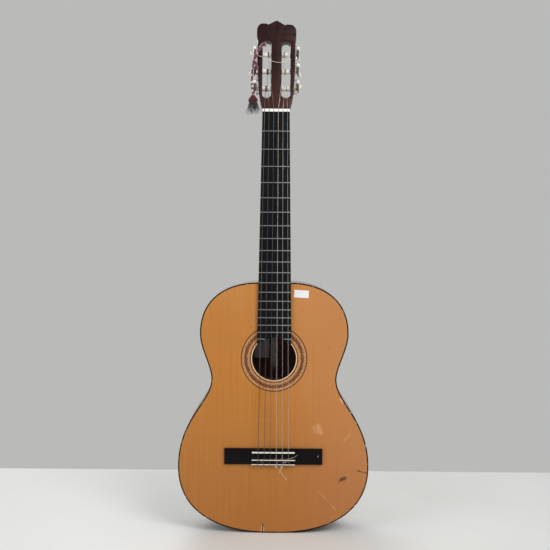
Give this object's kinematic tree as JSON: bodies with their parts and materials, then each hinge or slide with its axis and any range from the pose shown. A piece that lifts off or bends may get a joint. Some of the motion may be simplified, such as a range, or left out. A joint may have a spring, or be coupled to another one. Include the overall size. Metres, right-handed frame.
{
  "type": "classical guitar",
  "caption": "Full-size nylon-string guitar with a slotted head, worm-and-gear tuners and a tie-block bridge.",
  "frame": {"origin": "middle of the tail's flat end face, on the centre line and midway through the overall depth", "axes": "+Z from the tail up to the head, -Y out of the soundboard towards the player's audience, +X to the treble side"},
  "size_m": [0.368, 0.1136, 0.9941],
  "materials": {
    "spruce_top": "amber gloss lacquer over straight-grained spruce",
    "rosewood_body": "dark reddish-brown gloss lacquer",
    "neck_wood": "dark reddish-brown satin lacquer",
    "head_veneer_wood": "dark reddish-brown gloss veneer",
    "ebonised_wood": "black-stained hardwood, satin",
    "raw_spruce": "unfinished spruce",
    "raw_cedar": "unfinished cedar",
    "dark_binding": "dark brown gloss binding, chipped",
    "rosette_inlay": "inlaid rings of brown mosaic under lacquer",
    "back_inlay": "pale and dark marquetry strip under lacquer",
    "white_plastic": "off-white, polished",
    "pearl_plastic": "pearly cream, polished",
    "roller_plastic": "white, polished",
    "tuner_metal": "aged nickel plate",
    "fret_metal": "worn nickel silver",
    "nylon_string": "clear nylon",
    "wound_string": "tarnished silver-plated winding",
    "ribbon_fabric": "pink woven ribbon with pale flecks and a red tassel",
    "paper": "blank paper"
  },
  "bodies": {
    "guitar": {"soundboard": "spruce_top", "rosette": "rosette_inlay", "back": "rosewood_body", "back_centre_strip": "back_inlay", "side_treble": "rosewood_body", "side_bass": "rosewood_body", "tail_graft": "dark_binding", "top_binding": "dark_binding", "back_binding": "dark_binding", "top_lining_treble": "raw_cedar", "top_lining_bass": "raw_cedar", "back_lining_treble": "raw_cedar", "back_lining_bass": "raw_cedar", "neck_block": "neck_wood", "tail_block": "neck_wood", "upper_harmonic_bar": "raw_spruce", "lower_harmonic_bar": "raw_spruce", "bridge_plate": "raw_spruce", "fan_brace_bass": "raw_spruce", "fan_brace_centre": "raw_spruce", "fan_brace_treble": "raw_spruce", "back_brace_upper": "raw_cedar", "back_brace_middle": "raw_cedar", "back_brace_lower": "raw_cedar", "neck": "neck_wood", "heel_cap": "ebonised_wood", "fingerboard": "ebonised_wood", "nut": "white_plastic", "bridge": "ebonised_wood", "tie_block_inlay": "white_plastic", "saddle": "white_plastic", "headstock": "neck_wood", "head_veneer": "head_veneer_wood", "tuner_plate_treble": "tuner_metal", "tuner_plate_bass": "tuner_metal", "string_1": "nylon_string", "string_2": "nylon_string", "string_3": "nylon_string", "string_4": "wound_string", "string_5": "wound_string", "string_6": "wound_string", "ribbon": "ribbon_fabric"},
    "string_roller_1": {"roller_1": "roller_plastic"},
    "worm_shaft_1": {"worm_1": "tuner_metal", "button_1": "pearl_plastic"},
    "string_roller_2": {"roller_2": "roller_plastic"},
    "worm_shaft_2": {"worm_2": "tuner_metal", "button_2": "pearl_plastic"},
    "string_roller_3": {"roller_3": "roller_plastic"},
    "worm_shaft_3": {"worm_3": "tuner_metal", "button_3": "pearl_plastic"},
    "string_roller_4": {"roller_4": "roller_plastic"},
    "worm_shaft_4": {"worm_4": "tuner_metal", "button_4": "pearl_plastic"},
    "string_roller_5": {"roller_5": "roller_plastic"},
    "worm_shaft_5": {"worm_5": "tuner_metal", "button_5": "pearl_plastic"},
    "string_roller_6": {"roller_6": "roller_plastic"},
    "worm_shaft_6": {"worm_6": "tuner_metal", "button_6": "pearl_plastic"}
  },
  "joints": [
    {"name": "worm_1_spin", "type": "hinge", "parent": "guitar", "child": "worm_shaft_1", "pos_m": [0.042, -0.02198, 0.86743], "axis": [0, 0.9703, -0.2419], "continuous": true},
    {"name": "roller_1_spin", "type": "hinge", "parent": "guitar", "child": "string_roller_1", "pos_m": [0.03, -0.0244, 0.85773], "axis": [1, 0, 0], "continuous": true},
    {"name": "worm_2_spin", "type": "hinge", "parent": "guitar", "child": "worm_shaft_2", "pos_m": [0.042, -0.01351, 0.90139], "axis": [0, 0.9703, -0.2419], "continuous": true},
    {"name": "roller_2_spin", "type": "hinge", "parent": "guitar", "child": "string_roller_2", "pos_m": [0.03, -0.01593, 0.89169], "axis": [1, 0, 0], "continuous": true},
    {"name": "worm_3_spin", "type": "hinge", "parent": "guitar", "child": "worm_shaft_3", "pos_m": [0.042, -0.00505, 0.93535], "axis": [0, 0.9703, -0.2419], "continuous": true},
    {"name": "roller_3_spin", "type": "hinge", "parent": "guitar", "child": "string_roller_3", "pos_m": [0.03, -0.00747, 0.92565], "axis": [1, 0, 0], "continuous": true},
    {"name": "worm_4_spin", "type": "hinge", "parent": "guitar", "child": "worm_shaft_4", "pos_m": [-0.042, -0.00505, 0.93535], "axis": [0, 0.9703, -0.2419], "continuous": true},
    {"name": "roller_4_spin", "type": "hinge", "parent": "guitar", "child": "string_roller_4", "pos_m": [-0.03, -0.00747, 0.92565], "axis": [1, 0, 0], "continuous": true},
    {"name": "worm_5_spin", "type": "hinge", "parent": "guitar", "child": "worm_shaft_5", "pos_m": [-0.042, -0.01351, 0.90139], "axis": [0, 0.9703, -0.2419], "continuous": true},
    {"name": "roller_5_spin", "type": "hinge", "parent": "guitar", "child": "string_roller_5", "pos_m": [-0.03, -0.01593, 0.89169], "axis": [1, 0, 0], "continuous": true},
    {"name": "worm_6_spin", "type": "hinge", "parent": "guitar", "child": "worm_shaft_6", "pos_m": [-0.042, -0.02198, 0.86743], "axis": [0, 0.9703, -0.2419], "continuous": true},
    {"name": "roller_6_spin", "type": "hinge", "parent": "guitar", "child": "string_roller_6", "pos_m": [-0.03, -0.0244, 0.85773], "axis": [1, 0, 0], "continuous": true}
  ],
  "couplings": [
    {"joint": "roller_1_spin", "follows": "worm_1_spin", "ratio": 0.0625},
    {"joint": "roller_2_spin", "follows": "worm_2_spin", "ratio": 0.0625},
    {"joint": "roller_3_spin", "follows": "worm_3_spin", "ratio": 0.0625},
    {"joint": "roller_4_spin", "follows": "worm_4_spin", "ratio": -0.0625},
    {"joint": "roller_5_spin", "follows": "worm_5_spin", "ratio": -0.0625},
    {"joint": "roller_6_spin", "follows": "worm_6_spin", "ratio": -0.0625}
  ]
}
